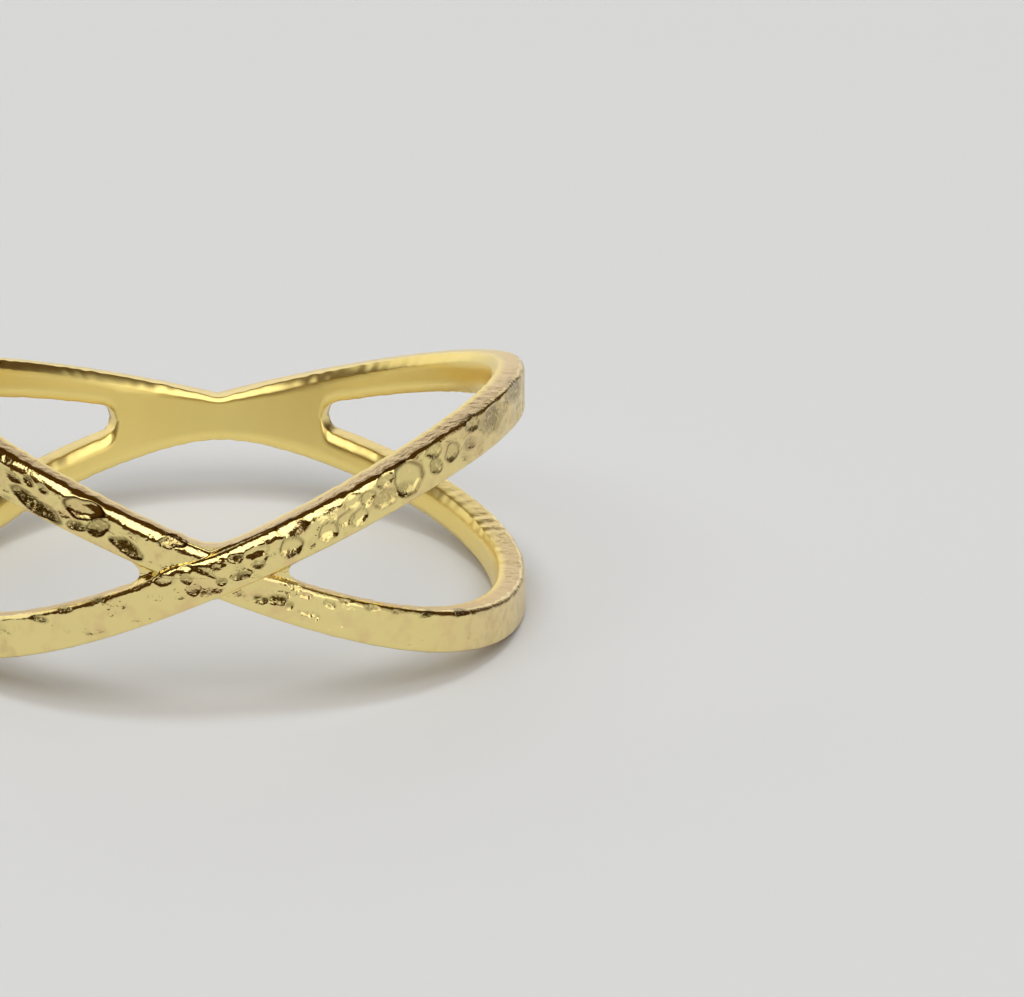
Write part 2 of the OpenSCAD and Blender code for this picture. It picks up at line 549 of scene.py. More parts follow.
    def swell(self, s: Array, z: Array) -> Array:
        """Slow unevenness that forging leaves in the faces.

        Args:
            s: Arc length from the middle of the front.
            z: Height above the middle of the ring.

        Returns:
            Heights in millimetres.
        """
        rng = np.random.default_rng(self.seed + 1)
        total = np.zeros_like(s)
        for _ in range(self.waves):
            length = rng.uniform(*self.wave_length)
            heading = rng.uniform(0, math.pi)
            phase = rng.uniform(0, 2 * math.pi)
            way = s * math.cos(heading) + z * math.sin(heading)
            total += np.sin(2 * math.pi * way / length + phase) * self.wave_height
        return total

    def bend(self, s: Array, z: Array, waves: tuple[tuple[float, ...], ...]) -> Array:
        """Shift in millimetres that bends the marks' outlines one way."""
        return sum(share * self.warp * np.sin(by_s * s + by_z * z) for share, by_s, by_z in waves)

    def relief(self, s: Array, z: Array) -> tuple[Array, Array, Array]:
        """Height that the hammer adds to or takes from the outside.

        Args:
            s: Arc length from the middle of the front.
            z: Height above the middle of the ring.

        Returns:
            Relief in millimetres, negative where the metal is struck in, how
            rough the strikes leave each place, and how dark its creases are.
        """
        bent_s = s + self.bend(s, z, self.warp_s)
        bent_z = z + self.bend(s, z, self.warp_z)
        deepest, raised, grit, stain = (np.zeros_like(s) for _ in range(4))
        for k in self.strikes:
            reach = self.mark_room[0] * max(k.along, k.across) + self.mark_room[1]
            near = (np.abs(s - k.s) < reach) & (np.abs(z - k.z) < reach)
            if not near.any():
                continue
            q = k.from_middle(bent_s[near], bent_z[near])
            inside = ease(1 - q, 0.0, self.wall_share)
            bowl = (self.flat_cup + (1 - self.flat_cup) * k.bowl) * np.clip(1 - q * q, 0.0, 1.0)
            cup = inside * (1 - k.bowl) + bowl
            deepest[near] = np.maximum(deepest[near], k.depth * cup)
            raised[near] = np.maximum(raised[near], k.lip * bell(q, *self.rim_at))
            grit[near] = np.maximum(grit[near], k.grit * inside)
            # painted shade in the crease round each mark
            stain[near] = np.maximum(stain[near], k.outline * bell(q, *self.crease_at))
        return raised * (deepest < self.unstruck) - deepest + self.swell(s, z), grit, stain


CHARTED = (
    Dent(27, 482, 6, 4.5, 0.05, -30, 0.7, outline=0.8),
    Dent(42, 489, 6, 4, 0.045, -35, 0.5, 0.01, 0.6, outline=0.7),
    Dent(112, 539, 5, 3, 0.03, -20, 0.4, 0.01, 1.0),
    Dent(34, 505, 27, 7, 0.075, -27, 1.0, 0.01, 0.9, outline=0.8),
    Dent(82, 510, 20, 9.5, 0.055, -14, 0.1, 0.02, outline=0.95),
    Dent(75, 526, 11, 5, 0.055, -12, 0.9, 0.01, 0.9, outline=0.8),
    Dent(97, 529, 12, 7.5, 0.06, 20, 0.5, 0.01, 0.8, outline=0.9),
    Dent(127, 549, 18, 7, 0.075, -30, 1.0, 0.01, 0.9, outline=0.7),
    Dent(172, 544, 15, 6, 0.05, -4, 0.5, 0.02, outline=0.95),
    Dent(12, 476, 9, 4, 0.04, -30, 0.5),
    Dent(5, 497, 6, 3, 0.03, -10, 0.4),
    Dent(66, 608, 8, 3, 0.03, 5, 0.4),
    Dent(93, 600, 15, 3, 0.035, 12, 0.5),
    Dent(40, 619, 9, 3, 0.015, 5, 0.8),
    Dent(15, 628, 3, 2, 0.02),
    Dent(114, 612, 4, 2, 0.025),
    Dent(124, 605, 2.5, 2, 0.02),
    Dent(164, 580, 10, 5, 0.03, 12, 0.1, 0.01, 1.0),
    Dent(186, 567, 8, 3, 0.03, 5, 0.2, 0.01, 0.8, outline=0.5),
    Dent(204, 571, 14, 3.5, 0.034, -27, 0.2, 0.01, 1.0, outline=0.6),
    Dent(186, 578, 7, 4, 0.034, -50, 0.4, 0.01, 1.0, outline=0.6),
    Dent(156, 597, 7, 2, 0.02, 0, 0, 0.005, 1.0),
    Dent(181, 596, 6, 2, 0.022, 3, 0, 0.005, 1.0),
    Dent(194, 591, 6, 5, 0.02, 0, 0.2),
    Dent(222, 580, 7, 3.5, 0.034, 8, 0.6, 0.01, 1.0, outline=0.6),
    Dent(241, 575, 8, 4.5, 0.036, 5, 0.7, 0.01, 1.0, outline=0.6),
    Dent(258, 564, 8, 3.5, 0.034, 5, 0.4, 0.01, 1.0, outline=0.6),
    Dent(217, 567, 6, 2.5, 0.024, 0, 0.2, 0.01, 1.0),
    Dent(235, 557, 9, 4.5, 0.045, 12, 1.0, 0.01, 1.0, outline=0.6),
    Dent(256, 551, 13, 5, 0.05, 12, 0.0, 0.01, 1.0),
    Dent(291, 545, 13, 9, 0.06, 20, 0.05, 0.02, 0.7, outline=0.8),
    Dent(292, 528, 16, 7, 0.03, 18, 0.05, 0.01, 0.3, outline=0.6),
    Dent(327, 531, 11, 8, 0.06, 25, 0.05, 0.02, 0.7, outline=0.7),
    Dent(345, 518, 9, 6, 0.045, 25, 0.05, 0.01, 0.7, outline=0.6),
    Dent(358, 516, 9, 8, 0.055, 25, 0.05, 0.02, 0.7, outline=0.6),
    Dent(352, 500, 12, 6, 0.04, 25, 0, 0.01, 0.7, outline=0.5),
    Dent(367, 497, 8, 8, 0.05, 20, 0.2, 0.02, outline=0.6),
    Dent(384, 480, 10, 8, 0.045, 30, 0.25, outline=0.5),
    Dent(384, 499, 12, 8, 0.045, 20, 0.3, outline=0.5),
    Dent(408, 478, 14, 18, 0.06, 10, 0.08, 0.03, outline=0.75),
    Dent(405, 488, 10, 7, 0.075, 10, 0.4),
    Dent(434, 452, 7, 7, 0.045, 0, 0.2, 0.02, outline=0.8),
    Dent(436, 466, 7, 7, 0.05, 0, 0.4, 0.02, outline=0.8),
    Dent(452, 451, 7, 10, 0.05, 0, 0.2, 0.02, outline=0.8),
    Dent(472, 424, 7, 8, 0.045, 0, 0.3, 0.02, outline=0.8),
    Dent(471, 443, 7, 6, 0.04, 0, 0.4),
    Dent(492, 418, 11, 15, 0.035, 0, 0.6),
    Dent(515, 390, 8, 12, 0.03, 0, 0.6),
    Dent(262, 599, 9, 4, 0.04, -8, 1.0),
    Dent(279, 601, 10, 5, 0.045, -15, 1.0),
    Dent(295, 588, 8, 3, 0.03, -20, 0.2),
    Dent(306, 596, 8, 2, 0.03, -10),
    Dent(291, 606, 4, 3, 0.035, 0, 0.5),
    Dent(310, 615, 11, 1.8, 0.03, -25),
    Dent(319, 620, 3, 2, 0.04),
    Dent(353, 601, 12, 2.5, 0.03, -10, 0.4),
    Dent(331, 605, 7, 3, 0.03, -12, 0.3, outline=0.5),
    Dent(374, 608, 8, 2.5, 0.025, -6, 0.5, outline=0.4),
    Dent(398, 613, 6, 2.5, 0.025, 0, 0.4, outline=0.4),
    Dent(428, 615, 9, 3, 0.025, 0, 0.6, outline=0.3),
    Dent(462, 612, 8, 4, 0.025, 5, 0.7, outline=0.3),
)


class Zone(Enum):
    """Which face of a band a vertex lies on."""

    INSIDE = 0.0
    EDGE = 1.0
    OUTSIDE = 2.0


@dataclass(frozen=True)
class HammeredGold:
    """Pale gold plate over cast brass, polished outside and satin on its edges.

    Plating gives the eye one warm colour. The hammered outside breaks its polish
    into small mirrors that flash next to dark ones, and the filed edges scatter
    the light to a paler beige. Dark brown is painted in as shade in the pits of
    the rough strikes, in the creases round the marks and along the outside's
    lower edges. Each pattern is given as cells to a millimetre and a detail:
    polish grain of 0.11 mm, pits of 0.12 mm in the rough strikes, file marks of
    0.19 mm, cloudy plating of 0.67 mm and specks of 0.28 mm.
    """

    name: str = "hammered_pale_gold"
    polished: str = "f7e49b"
    rosy: str = "eecb94"
    filed: str = "f1d7a4"
    inner: str = "fce590"
    # painted shade for the pits of the rough strikes
    painted_pit_shade: str = "57400f"
    # painted shade for the creases round the marks and the outside's lower edges
    crease: str = "4a300a"
    rosy_share: float = 0.6
    rosy_from: Range = (0.5, 0.68)
    pitted_from: Range = (0.31, 0.47)
    polished_roughness: float = 0.11
    filed_roughness: float = 0.36
    inner_roughness: float = 0.3
    gritty_roughness: float = 0.2
    uneven_roughness: Range = (-0.05, 0.06)
    grain: Range = (9.0, 3.0)
    pits: Range = (8.5, 2.0)
    file_marks: Range = (5.2, 4.0)
    clouds: Range = (1.5, 3.0)
    specks: float = 3.6
    speck_edge: Range = (0.08, 0.2)
    speck_strength: float = 0.18
    speck_depth_m: float = 0.00002
    bump_depth_m: float = 0.00009
    polished_bump: float = 0.11
    filed_bump: float = 0.8
    inner_bump: float = 0.05
    gritty_bump: float = 1.0

    def material(self) -> bpy.types.Material:
        """Build the material.

        Returns:
            The new material.
        """
        made = bpy.data.materials.new(self.name)
        made.use_nodes = True
        tree = made.node_tree
        shader = tree.nodes["Principled BSDF"]
        shader.inputs["Metallic"].default_value = 1.0
        place = add_node(tree, "TexCoord", output="Object")
        zone, grit, stain = (
            add_node(tree, "Attribute", output="Fac", attribute_name=name)
            for name in ("zone", "grit", "stain")
        )
        edge, face, back = Zone.EDGE.value, Zone.OUTSIDE.value, Zone.INSIDE.value
        filed = add_node(tree, "MapRange", {"Value": zone, "From Min": face, "From Max": edge})
        inside = add_node(tree, "MapRange", {"Value": zone, "From Min": edge, "From Max": back})
        grain, pits, file_marks, clouds = (
            add_node(tree, "TexNoise", {"Vector": place, "Scale": cells / MM, "Detail": detail})
            for cells, detail in (self.grain, self.pits, self.file_marks, self.clouds)
        )

        low, high = self.rosy_from
        toned = {"Value": clouds, "From Min": low, "From Max": high, "To Max": self.rosy_share}
        toned = add_node(tree, "MapRange", toned)
        low, high = self.pitted_from
        pitted = add_node(tree, "MapRange", {"Value": pits, "From Min": low, "From Max": high})
        pitted = add_node(tree, "Math", {0: pitted, 1: grit}, operation="MULTIPLY")
        colour = linear_colour(self.polished)
        for share, code in (
            (toned, self.rosy),
            (filed, self.filed),
            (inside, self.inner),
            # painted shade: dark brown in the pits of the rough strikes
            (pitted, self.painted_pit_shade),
            # painted shade: dark brown in the creases round the marks and along the lower edges
            (stain, self.crease),
        ):
            mixed = {0: share, 6: colour, 7: linear_colour(code)}
            colour = add_node(tree, "Mix", mixed, 2, data_type="RGBA")
        tree.links.new(colour, shader.inputs["Base Color"])

        shares = (filed, inside, grit)
        levels = (self.filed_roughness, self.inner_roughness, self.gritty_roughness)
        rough = self.layered(tree, self.polished_roughness, shares, levels)
        low, high = self.uneven_roughness
        uneven = add_node(tree, "Mix", {0: clouds, 2: low, 3: high})
        rough = add_node(tree, "Math", {0: rough, 1: uneven}, operation="ADD")
        tree.links.new(rough, shader.inputs["Roughness"])

        height = self.layered(tree, grain, (filed, grit), (file_marks, pits))
        levels = (self.filed_bump, self.inner_bump, self.gritty_bump)
        strength = self.layered(tree, self.polished_bump, shares, levels)
        bump = {"Strength": strength, "Distance": self.bump_depth_m, "Height": height}
        bump = add_node(tree, "Bump", bump)
        specks = add_node(tree, "TexVoronoi", {"Vector": place, "Scale": self.specks / MM})
        low, high = self.speck_edge
        specks = add_node(tree, "MapRange", {"Value": specks, "From Min": low, "From Max": high})
        strength = self.layered(tree, self.speck_strength, (filed,), (0.0,))
        specked = {"Strength": strength, "Distance": self.speck_depth_m, "Height": specks}
        specked = add_node(tree, "Bump", specked | {"Normal": bump})
        tree.links.new(specked, shader.inputs["Normal"])
        return made

    def layered(
        self, tree: Tree, ground: Socket | float, shares: tuple[Socket, ...], levels: tuple
    ) -> Socket:
        """Lay values over one another, as the finishes of the faces lie.

        Args:
            tree: The material's nodes.
            ground: The polished outside's value.
            shares: How much of each layer shows, from the lowest up.
            levels: The value of each layer.

        Returns:
            The value that shows.
        """
        for share, level in zip(shares, levels):
            ground = add_node(tree, "Mix", {0: share, 2: ground, 3: level})
        return ground


@dataclass
class CrossoverRing:
    """Both bands, forged as one piece.

    Steps are counted round half the ring, and points across a band. The reach
    of an edge is how far in from it the metal is worn: worn_shape gives the
    sine of the worn face's tilt against the share of the reach, from the edge
    inwards. inner_shape gives how far the corner of the inside stands off the
    finger against how far it lies in from the edge, both as shares. spread is
    how the hammer has driven the upper band over the other, left of the
    crossing.
    """

    hole: FingerHole
    path: BandPath
    hammering: Hammering
    finish: HammeredGold
    front_steps: int = 105
    arch_steps: int = 335
    back_steps: int = 60
    gathered: Range = (0.12, 0.035)
    outer_points: int = 32
    wall_points: int = 2
    inner_points: int = 12
    fine_points: int = 401
    edge_r: float = 0.14
    high_arch_reach: float = 0.36
    low_arch_reach: float = 0.19
    over_arch_at: Range = (-0.25, 0.15)
    under_arch_at: Range = (-0.15, 0.25)
    right_loss: float = 1.25
    right_loss_at: Range = (0.34, 0.62)
    worn_shape: tuple[Range, ...] = ((0.0, 1.0), (0.24, 0.61), (0.66, 0.42), (1.0, 0.0))
    steepest: float = 1.0005
    past_edge: float = 2.0
    spread_height: float = 0.18
    spread_at: float = -1.3
    spread_run: float = 0.75
    soft: float = 0.03
    cleared_depth: float = 0.6
    cleared_past: Range = (0.1, 0.3)
    cleared_apart: Range = (0.35, 0.7)
    mark_inset: float = 0.15
    mark_least: float = 0.35
    fold_at: Range = (0.42, 0.6)
    fold_width: float = 0.09
    over_fold_gain: float = 3.0
    under_fold_gain: float = 1.0
    low_edge_gain: float = 1.2
    high_edge_gain: float = 1.1
    edge_zone_gain: float = 0.5
    edge_end: float = 2e-4
    crossing_top: float = -0.2
    inner_edge_r: float = 0.25
    inner_edge_h: float = 0.32
    inner_edge_share: float = 0.3
    inner_shape: tuple[Range, ...] = (
        (1.0, 0.0),
        (0.76, 0.04),
        (0.66, 0.11),
        (0.08, 0.8),
        (0.0, 1.0),
    )
    window_opens: Range = (-0.1, 0.25)
    # painted shade: towards the back the edge faces take the inside's deeper gold
    back_edge_shade_from: Range = (1.5, 2.2)
    back_edge_shade_share: float = 0.75
    satin_from: Range = (0.72, 1.05)
    satin_to: Range = (1.7, 2.2)
    satin_share: float = 0.5
    # painted shade along the outside's lower edges
    lower_edge_painted_shade: float = 0.7
    smooth_deg: float = 50.0
    merge_mm: float = 2e-4

    @property
    def outer_r(self) -> float:
        """Radius of the bands' outside."""
        return self.hole.radius + self.path.wall

    @property
    def half_steps(self) -> int:
        """Steps of the hoop in half a turn."""
        return self.front_steps + self.arch_steps + self.back_steps

    def section(self) -> list[Range]:
        """Draw the section of a hoop.

        Returns:
            Its points, as shares of its depth and of its height.
        """
        outer = [(1.0, k / (self.outer_points - 1)) for k in range(self.outer_points)]
        inner = [(0.0, 1 - k / (self.inner_points - 1)) for k in range(self.inner_points)]
        wall = [(k + 1) / (self.wall_points + 1) for k in range(self.wall_points)]
        return outer + [(1 - t, 1.0) for t in wall] + inner + [(t, 0.0) for t in wall]

    def cut_strip(self, name: str) -> bpy.types.Object:
        """Cut a flat strip with a row for each point of the section and a column for each step.

        Args:
            name: Its name.

        Returns:
            The strip.
        """
        deselect_all()
        bpy.ops.mesh.primitive_grid_add(
            x_subdivisions=2 * self.half_steps, y_subdivisions=len(self.section()), size=1.0
        )
        strip = bpy.context.active_object
        strip.name = name
        return strip

    def column_angles(self) -> Array:
        """Space the columns, closer at the front and at the window ends.

        Returns:
            The angle of each column, from behind round the front to behind.
        """
        front_end, back_end = self.path.ends(self.outer_r)
        share = np.linspace(0.0, 1.0, self.arch_steps + 1)
        forward, both = self.gathered
        share = share - forward * np.sin(math.pi * share) - both * np.sin(2 * math.pi * share)
        share = (share - share[0]) / (share[-1] - share[0])
        arch = front_end + (back_end - front_end) * share
        front = np.linspace(0.0, front_end, self.front_steps + 1)[:-1]
        back = np.linspace(back_end, math.pi, self.back_steps + 1)[1:]
        half = np.concatenate([front, arch, back])
        return np.concatenate([-half[:0:-1], half[:-1]])

    def outside(self, a: Array, z: Array) -> tuple[Array, Array, Array]:
        """Radius of the outside, how rough the hammer leaves it, and the painted shade in its
        creases.

        Args:
            a: Angles.
            z: Heights.

        Returns:
            The radius in millimetres, and the roughness and the painted shade as shares.
        """
        path = self.path
        middle = path.over_mid(a)
        square = 1 / np.sqrt(1 + path.slope(a, self.outer_r) ** 2)
        spread = np.where(z > middle, self.spread_over(a), 0.0)
        over = (path.over_width(a) / 2 + spread - np.abs(z - middle)) * square
        under = (path.under_width(a) / 2 - np.abs(z + middle)) * square
        fade_from, fade_to = (math.radians(d) for d in path.step_fade_deg)
        step = path.over_step / 2 * (1 - ease(np.abs(a), fade_from, fade_to))
        over_top, under_top = self.top_reach(a)
        over_h = step + self.edge_drop(over, np.where(z > middle, over_top, self.edge_r))
        under_h = self.edge_drop(under, np.where(z > -middle, under_top, self.edge_r)) - step
        past_bands = ease(np.abs(z) - np.abs(middle), *self.cleared_past)
        cleared = past_bands * ease(np.abs(middle), *self.cleared_apart)
        web = -(path.web_depth + self.cleared_depth * cleared)
        height = soft_max(soft_max(over_h, under_h, self.soft), web, self.soft)
        inset = np.clip(np.maximum(over, under) / self.mark_inset, 0.0, 1.0)
        marks, grit, stain = self.hammering.relief(a * self.outer_r, z)
        marks = marks * (self.mark_least + (1 - self.mark_least) * inset)
        return self.outer_r + height + marks, grit, stain

    def top_reach(self, a: Array) -> tuple[Array, Array]:
        """Find how far in the upper outer edges are worn.

        Args:
            a: Angles.

        Returns:
            The reach on the band that runs over, and on the other.
        """
        more = self.high_arch_reach - self.low_arch_reach
        kept = 1 - self.right_loss * ease(a, *self.right_loss_at)
        over = self.low_arch_reach + more * ease(np.sin(a), *self.over_arch_at) * kept
        under = self.high_arch_reach - more * ease(np.sin(a), *self.under_arch_at)
        return over, under

    def spread_over(self, a: Array) -> Array:
        """How far the upper band's top edge is driven up, in millimetres."""
        return self.spread_height * bell(a * self.outer_r, self.spread_at, self.spread_run)

    @cached_property
    def worn_fall(self) -> tuple[Array, Array]:
        """Fall of the worn profile against the distance from the edge, as shares of its reach."""
        at, sines = np.array(self.worn_shape).T
        share = np.linspace(0.0, 1.0, self.fine_points)
        sine = np.interp(share, at, sines)
        slope = sine / np.sqrt(self.steepest - sine**2)
        return share, np.append(np.cumsum(slope[::-1][:-1])[::-1] * share[1], 0.0)

    def edge_drop(self, inside: Array, reach: Array) -> Array:
        """How far a rounded or worn edge lies below its face.

        Args:
            inside: Distance inwards from the edge, negative beyond it.
            reach: Distance from the edge at which it joins the face.

        Returns:
            Negative heights, and zero on the face.
        """
        share = np.clip(inside / reach, 0.0, 1.0)
        rounded = 1 - np.sqrt(np.clip(1 - (1 - share) ** 2, 0.0, None))
        more = self.high_arch_reach - self.low_arch_reach
        worn = np.clip((reach - self.low_arch_reach) / more, 0.0, 1.0)
        drop = rounded + (np.interp(share, *self.worn_fall) - rounded) * worn
        return -reach * drop + np.minimum(inside, 0.0) * self.past_edge

    def rows(self, a: Array, low: Array, high: Array) -> Array:
        """Heights of the outside's rows, gathered along every edge.

        Args:
            a: Angle of each column.
            low: Lower end of each column.
            high: Upper end of each column.

        Returns:
            One row of heights for each column.
        """
        share = np.linspace(0.0, 1.0, self.fine_points)
        z = low[:, None] + (high - low)[:, None] * share[None, :]
        middle = self.path.over_mid(a)[:, None]
        half = self.path.over_width(a)[:, None] / 2
        spread = self.spread_over(a)[:, None]
        other = self.path.under_width(a)[:, None] / 2
        weight = np.ones_like(z)
        fold = 1 - ease(np.abs(a), *self.fold_at)[:, None]
        for edge, gain in (
            (middle - half, self.over_fold_gain),
            (middle + half + spread, self.over_fold_gain),
            (-middle - other, self.under_fold_gain),
            (-middle + other, self.under_fold_gain),
        ):
            weight += fold * gain * bell(z, edge, self.fold_width)
        arch = np.where(high > self.crossing_top, self.high_arch_reach, self.low_arch_reach)
        for edge, radius, gain in (
            (low[:, None], self.edge_r, self.low_edge_gain),
            (high[:, None], arch[:, None], self.high_edge_gain),
        ):
            d = np.clip(np.abs(z - edge), 0.0, radius)
            steepness = radius / np.sqrt(2 * radius * d - d * d + self.edge_end) - 1
            weight += gain * steepness + self.edge_zone_gain * (d < radius)
        total = np.cumsum((weight[:, 1:] + weight[:, :-1]) / 2, axis=1)
        total = np.concatenate([np.zeros((len(a), 1)), total], axis=1)
        total /= total[:, -1:]
        wanted = np.linspace(0.0, 1.0, self.outer_points)
        return np.array([np.interp(wanted, total[i], z[i]) for i in range(len(a))])

    def inner_face(
        self, across: Array, low: Array, high: Array, low_worn: Array, high_worn: Array
    ) -> tuple[Array, Array, Array]:
        """Shape the inside, whose corners the finger has worn.

        Args:
            across: Share of the height at which each point lies.
            low: Height of the lower edge.
            high: Height of the upper edge.
            low_worn: How much the lower corner is worn, as a share.
            high_worn: How much the upper corner is worn.

        Returns:
            Heights, how far each point stands off the finger, and how far the edge beside it does.
        """
        rise, corner = np.array(self.inner_shape).T
        last = len(self.inner_shape) - 1
        from_low = np.rint(across * (self.inner_points - 1)).astype(int)
        from_high = self.inner_points - 1 - from_low
        low_at, high_at = np.clip(from_low, 0, last), np.clip(from_high, 0, last)
        reach = np.minimum(self.inner_edge_h, (high - low) * self.inner_edge_share)
        flat_run = (high - low - 2 * reach) / (self.inner_points - 1 - 2 * last)
        z = low + reach + flat_run * (from_low - last)
        z = np.where(from_low < last, low + corner[low_at] * reach, z)
        z = np.where(from_high < last, high - corner[high_at] * reach, z)
        wear = reach / self.inner_edge_h * self.inner_edge_r
        off_finger = (rise[low_at] * low_worn + rise[high_at] * high_worn) * wear
        return z, off_finger, np.where(across > 0.5, high_worn, low_worn) * wear

    def draw(self, hoop: bpy.types.Object, upper: bool) -> None:
        """Roll a strip into a hoop along the high or the low arches, and open the windows.

        Args:
            hoop: The flat strip.
            upper: Whether it is the one that runs along the high arches.
        """
        mesh = hoop.data
        columns = self.column_angles()
        section = np.array(self.section())
        flat = np.empty(len(mesh.vertices) * 3)
        mesh.vertices.foreach_get("co", flat)
        share = flat.reshape(-1, 3) + 0.5
        column = np.rint(share[:, 0] * len(columns)).astype(int) % len(columns)
        point = np.rint(share[:, 1] * len(section)).astype(int) % len(section)
        depth, across = section[point].T
        a = columns[column]
        out, inn = depth > 1 - TINY, depth < TINY
        wall = ~out & ~inn

        window_low, window_high = self.path.window(columns, self.outer_r)
        low_edge = window_high if upper else self.path.bottom(columns)
        high_edge = self.path.top(columns) if upper else window_low
        low, high = low_edge[column], high_edge[column]
        at_window = ease(self.path.into_window(columns, self.outer_r), *self.window_opens)[column]
        full = np.ones_like(a)
        worn = (at_window, full) if upper else (full, at_window)
        inner_z, off_finger, edge_off = self.inner_face(across, low, high, *worn)
        row = np.rint(across * (self.outer_points - 1)).astype(int)
        z = np.where(inn, inner_z, np.where(across > 0.5, high, low))
        z[out] = self.rows(columns, low_edge, high_edge)[column[out], row[out]]

        radius, grit, stain = self.outside(a, z)
        base = self.hole.radius + edge_off
        radius = np.where(wall, base + (radius - base) * depth, radius)
        radius = np.where(inn, self.hole.radius + off_finger, radius)
        co = np.stack([radius * np.sin(a), -radius * np.cos(a), z], axis=1)
        mesh.vertices.foreach_set("co", co.astype(np.float32).ravel())

        at_low, at_high = across < TINY, across > 1 - TINY
        at_edge = out & (at_low | at_high)
        satin = ease(np.abs(a), *self.satin_from) - ease(np.abs(a), *self.satin_to)
        # painted shade: towards the back, the walls and outer edges take the inside's deeper gold
        # in place of the filed beige
        back_edge_shade_zone = Zone.EDGE.value - self.back_edge_shade_share * ease(np.abs(a), *self.back_edge_shade_from)
        zone = np.where(out, Zone.OUTSIDE.value - self.satin_share * satin, Zone.INSIDE.value)
        # painted shade: the lowest row of the outside darkens towards the crease colour
        stain = np.where(out & at_low, np.maximum(stain, self.lower_edge_painted_shade), stain)
        for name, value in (
            ("zone", np.where(wall | at_edge, back_edge_shade_zone, zone)),
            ("grit", np.where(out, grit, 0.0)),
            ("stain", np.where(out, stain, 0.0)),
        ):
            layer = mesh.attributes.new(name, "FLOAT", "POINT")
            layer.data.foreach_set("value", value.astype(np.float32))

        step = np.abs(column - self.half_steps)
        closed = (step <= self.front_steps) | (step >= self.front_steps + self.arch_steps)
        self.open_seam(hoop, (at_low if upper else at_high) & closed)

    def open_seam(self, hoop: bpy.types.Object, inside: Array) -> None:
        """Take away the walls that face each other inside the crossings.

        Args:
            hoop: The drawn hoop.
            inside: Whether each vertex is on such a wall.
        """
        mesh = hoop.data
        corners = np.empty(len(mesh.polygons) * 4, dtype=np.int32)
        mesh.polygons.foreach_get("vertices", corners)
        gone = inside[corners.reshape(-1, 4)].all(axis=1)
        make_active(hoop)
        bpy.ops.object.mode_set(mode="EDIT")
        bpy.ops.mesh.select_mode(type="FACE")
        bpy.ops.mesh.select_all(action="DESELECT")
        bpy.ops.object.mode_set(mode="OBJECT")
        mesh.polygons.foreach_set("select", gone)
        bpy.ops.object.mode_set(mode="EDIT")
        bpy.ops.mesh.delete(type="FACE")
        bpy.ops.object.mode_set(mode="OBJECT")

    def build(self) -> bpy.types.Object:
        """Forge the ring and lay it down as it rests.

        Returns:
            The finished piece.
        """
        low_hoop = self.cut_strip("low_hoop")
        high_hoop = self.cut_strip("high_hoop")
        self.draw(low_hoop, upper=False)
        self.draw(high_hoop, upper=True)
        deselect_all()
        high_hoop.select_set(True)
        low_hoop.select_set(True)
        bpy.context.view_layer.objects.active = low_hoop
        bpy.ops.object.join()
        ring = bpy.context.active_object
        ring.name = "hammered_ring"
        bpy.ops.object.mode_set(mode="EDIT")
        bpy.ops.mesh.select_mode(type="VERT")
        bpy.ops.mesh.select_all(action="SELECT")
        bpy.ops.mesh.remove_doubles(threshold=self.merge_mm)
        bpy.ops.mesh.normals_make_consistent(inside=False)
        bpy.ops.object.mode_set(mode="OBJECT")
        lay = Matrix.Translation(self.hole.centre * MM) @ self.hole.lean().to_4x4()
        ring.data.transform(lay @ Matrix.Scale(MM, 4))
        make_active(ring)
        bpy.ops.object.shade_smooth_by_angle(angle=math.radians(self.smooth_deg))
        ring.data.materials.clear()
        ring.data.materials.append(self.finish.material())
        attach(ring, "root")
        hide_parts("ring")
        return ring


@dataclass(frozen=True)
class MattePaper:
    """Matte backdrop paper, whose fibre gives an even pale grey without gloss."""

    name: str = "pale_backdrop_paper"
    colour: str = "dcdcdc"
    roughness: float = 0.8

    def material(self) -> bpy.types.Material:
        """Build the material.

        Returns:
            The new material.
        """
        made = bpy.data.materials.new(self.name)
        made.use_nodes = True
        shader = made.node_tree.nodes["Principled BSDF"]
        shader.inputs["Base Color"].default_value = linear_colour(self.colour)
        shader.inputs["Roughness"].default_value = self.roughness
        return made


class Way(Enum):
    """Way in which a patch of light fades, from the ring out into the room."""

    RIGHT = "how far right it points"
    AWAY = "how far from the camera it points"
    UP = "how far up it points"
    ROUND = "angle from the front round to the right"
    ASIDE = "angle to either side of the soft box"


@dataclass(frozen=True)
class Fade:
    """Edge of a patch of light, which fades from one share to another."""

    way: Way
    start: float
    end: float
    start_share: float = 0.0
    end_share: float = 1.0


@dataclass(frozen=True)
class LightPatch:
    """Patch of light in the room that the polished metal mirrors."""

    level: float
    edges: tuple[Fade, ...]


SOFT_BOX = LightPatch(
    2.0,
    (
        Fade(Way.ASIDE, 1.15, 1.0),
        Fade(Way.UP, 0.56, 0.64),
        Fade(Way.AWAY, -0.06, -0.16),
        Fade(Way.UP, 0.93, 0.9),
    ),
)
FAR_SIDE = LightPatch(
    1.0, (Fade(Way.AWAY, 0.0, 0.3), Fade(Way.UP, 0.74, 0.5), Fade(Way.RIGHT, 0.65, 0.3))
)
LOW_RIGHT = LightPatch(
    1.3,
    (
        Fade(Way.ROUND, 0.42, 0.6),
        Fade(Way.ROUND, 0.95, 1.2, 1.0, 0.5 / 1.3),
        Fade(Way.UP, 0.68, 0.6),
        Fade(Way.UP, -0.05, 0.03),
        Fade(Way.AWAY, 0.15, -0.05),
    ),
)


